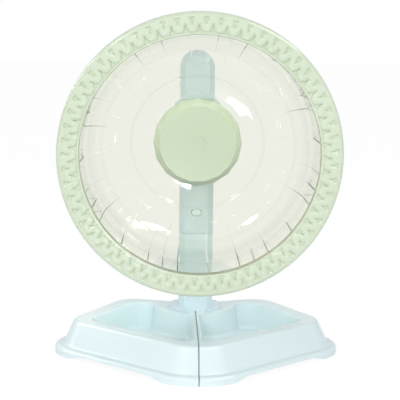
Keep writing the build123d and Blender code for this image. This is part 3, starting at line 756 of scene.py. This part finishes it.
ring_plastic = moulded_plastic(
    "ring_plastic", mint, mint_shade, ring_roughness, inside_lip, lip_painted_shade
)
ring = turned_copies("zigzag_ring", ring_slice(), loop_count, first_loop_angle, ring_plastic)
ring.data.set_sharp_from_angle(angle=radians(50))
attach(ring, "wheel")
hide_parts("rim_ring")

clip_count, clip_width, clip_land = 8, 6.0, 0.6
clip_tip, clip_root, clip_front, clip_back = 100.5, 102.9, 6.6, 9.0


def clip_slice():
    """One snap clip, a small hook on the inside of the ring's wall that holds the flange."""
    section = [
        (clip_root, clip_front), (clip_tip, clip_front), (clip_tip, clip_front + clip_land),
        (clip_root, clip_back),
    ]
    reach = clip_width / 2 / clip_root
    mesh = closed_slice("clip_slice", [(-reach, section), (0, section), (reach, section)])
    shape = bmesh.new()
    shape.from_mesh(mesh)
    bmesh.ops.holes_fill(shape, edges=shape.edges)
    shape.to_mesh(mesh)
    shape.free()
    return mesh


clips = turned_copies("ring_clips", clip_slice(), clip_count, 0.0, ring_plastic)
clips.data.set_sharp_from_angle(angle=radians(30))
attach(clips, "wheel")


# Knob. A sixteen-sided cap nut with triangular side facets, in a mint green a little darker
# than the ring's, with a turned brass insert.
knob_edge = 0.00035
knob_crease_angle = radians(8)
knob_mint = (0.545, 0.640, 0.475)
knob_mint_shade = (0.525, 0.620, 0.455)
knob_roughness = 0.22
brass_light, brass_dark = (0.78, 0.60, 0.29), (0.70, 0.52, 0.24)

knob_plastic = moulded_plastic("knob_plastic", knob_mint, knob_mint_shade, knob_roughness)

brass = Material("turned_brass")
brass_marks = brass.noise(1200.0, 2.0)
brass.surface(
    Base_Color=brass.mix(brass_marks, brass_light, brass_dark),
    Metallic=1.0,
    Roughness=0.25 + 0.15 * brass_marks,
)
dress(
    smooth_copy("hub_knob", knob_crease_angle, knob_edge),
    "wheel", "mint_plastic", knob_plastic, "hub_knob",
)
recolour("knob_insert", brass.material)


# Studio. A white floor and a pale surround, lit by three lamps: high on the left, in front and
# a weaker one on the right. They give shade alone, and four cards that show only in gloss give
# the highlights.
sky_level = 0.58
key_power = 3.8
fill_power = 3.0
front_power = 11.0

floor_mesh = bpy.data.meshes.new("floor")
half = 3.0  # half the floor's side
floor_mesh.from_pydata(
    [(-half, -half, 0), (half, -half, 0), (half, half, 0), (-half, half, 0)],
    [], [(0, 1, 2, 3)],
)
floor = bpy.data.objects.new("floor", floor_mesh)
bpy.context.scene.collection.objects.link(floor)
paper = Material("white_paper")
seen = paper.node("ShaderNodeLightPath")
open_to_eye = seen.out("Is Camera Ray").math("MAXIMUM", seen.out("Is Glossy Ray"))
open_to_eye = open_to_eye.math("MAXIMUM", seen.out("Is Transmission Ray"))
matt = paper.node("ShaderNodeBsdfDiffuse", None, {"Color": (0.88, 0.88, 0.88)}).out()
lit = paper.node("ShaderNodeEmission", None, {"Color": (1.0, 1.0, 1.0), "Strength": 1.06}).out()
paper.finish(paper.node("ShaderNodeMixShader", None, [open_to_eye * 0.86, matt, lit]).out())
floor_mesh.materials.append(paper.material)

world = bpy.data.worlds.new("surround")
bpy.context.scene.world = world
world.use_nodes = True
sky = world.node_tree
sky.nodes.clear()
path = sky.nodes.new("ShaderNodeLightPath")
background = sky.nodes.new("ShaderNodeBackground")
background.inputs["Color"].default_value = (1, 1, 1, 1)
level = sky.nodes.new("ShaderNodeMapRange")
level.inputs["To Min"].default_value = sky_level
level.inputs["To Max"].default_value = 1.0
first = sky.nodes.new("ShaderNodeMath")
first.operation = "MAXIMUM"
second = sky.nodes.new("ShaderNodeMath")
second.operation = "MAXIMUM"
sky.links.new(path.outputs["Is Camera Ray"], first.inputs[0])
sky.links.new(path.outputs["Is Glossy Ray"], first.inputs[1])
sky.links.new(first.outputs[0], second.inputs[0])
sky.links.new(path.outputs["Is Transmission Ray"], second.inputs[1])
sky.links.new(second.outputs[0], level.inputs["Value"])
sky.links.new(level.outputs[0], background.inputs["Strength"])
surround_out = sky.nodes.new("ShaderNodeOutputWorld")
sky.links.new(background.outputs[0], surround_out.inputs["Surface"])


def soft_lamp(name, place, aim, size, power, shows_in):
    """A flat lamp at a place, turned towards a point, that the eye doesn't see. It shows in the
    shade or in the gloss."""
    lamp = bpy.data.lights.new(name, "AREA")
    lamp.shape = "RECTANGLE"
    lamp.size, lamp.size_y = size
    lamp.energy = power
    holder = bpy.data.objects.new(name, lamp)
    bpy.context.scene.collection.objects.link(holder)
    holder.location = place
    turn = (Vector(aim) - Vector(place)).to_track_quat("-Z", "Y")
    holder.rotation_euler = turn.to_euler()
    holder.visible_camera = False
    holder.visible_diffuse = shows_in != "gloss"
    holder.visible_glossy = shows_in != "shade"
    holder.visible_transmission = shows_in != "shade"
    return holder


soft_lamp("key_lamp", (-0.9, -1.0, 1.3), (0, 0, 0.13), (0.4, 0.4), key_power, "shade")
soft_lamp("fill_lamp", (1.1, -0.8, 0.9), (0, 0, 0.13), (0.6, 0.6), fill_power, "shade")
soft_lamp("front_lamp", (-0.3, -1.7, 0.35), (0, 0, 0.13), (0.9, 0.9), front_power, "shade")
soft_lamp("right_card", (0.89, -0.55, 1.28), (0, 0, 0.1), (1.2, 0.22), 14.0, "gloss")
soft_lamp("left_card", (-1.34, 0.3, 0.85), (0, 0, 0.12), (0.2, 0.7), 8.0, "gloss")
soft_lamp("low_card", (-0.04, -0.60, 0.02), (0.026, 0.018, 0.203), (0.10, 0.025), 0.22, "gloss")
sparkle = soft_lamp("ring_card", (-0.9, -1.0, 1.3), (0, 0, 0.165), (0.3, 0.3), 6.0, "gloss")
sparkle.visible_transmission = False


# Camera. It stands where one fit of the ring, knob, column and base against the photo puts it,
# and looks slightly down.
eye = Vector((-0.0295, -1.0625, 0.3105))
yaw, pitch, roll = 0.029463, 0.174797, -0.010745
focal_pixels, picture_pixels = 1391.32, 400

camera = bpy.data.cameras.new("camera")
camera.sensor_width = 36.0
camera.lens = focal_pixels * camera.sensor_width / picture_pixels
camera.clip_start = 0.05
camera.clip_end = 20.0
holder = bpy.data.objects.new("camera", camera)
bpy.context.scene.collection.objects.link(holder)
ahead = Vector((sin(yaw) * cos(pitch), cos(yaw) * cos(pitch), -sin(pitch)))
level_right = Vector((cos(yaw), -sin(yaw), 0))
level_down = ahead.cross(level_right)
right = cos(roll) * level_right + sin(roll) * level_down
down = -sin(roll) * level_right + cos(roll) * level_down
turned = Matrix((right, -down, -ahead)).transposed().to_4x4()
holder.matrix_world = Matrix.Translation(eye) @ turned
bpy.context.scene.camera = holder
bpy.context.scene.view_settings.view_transform = "Standard"
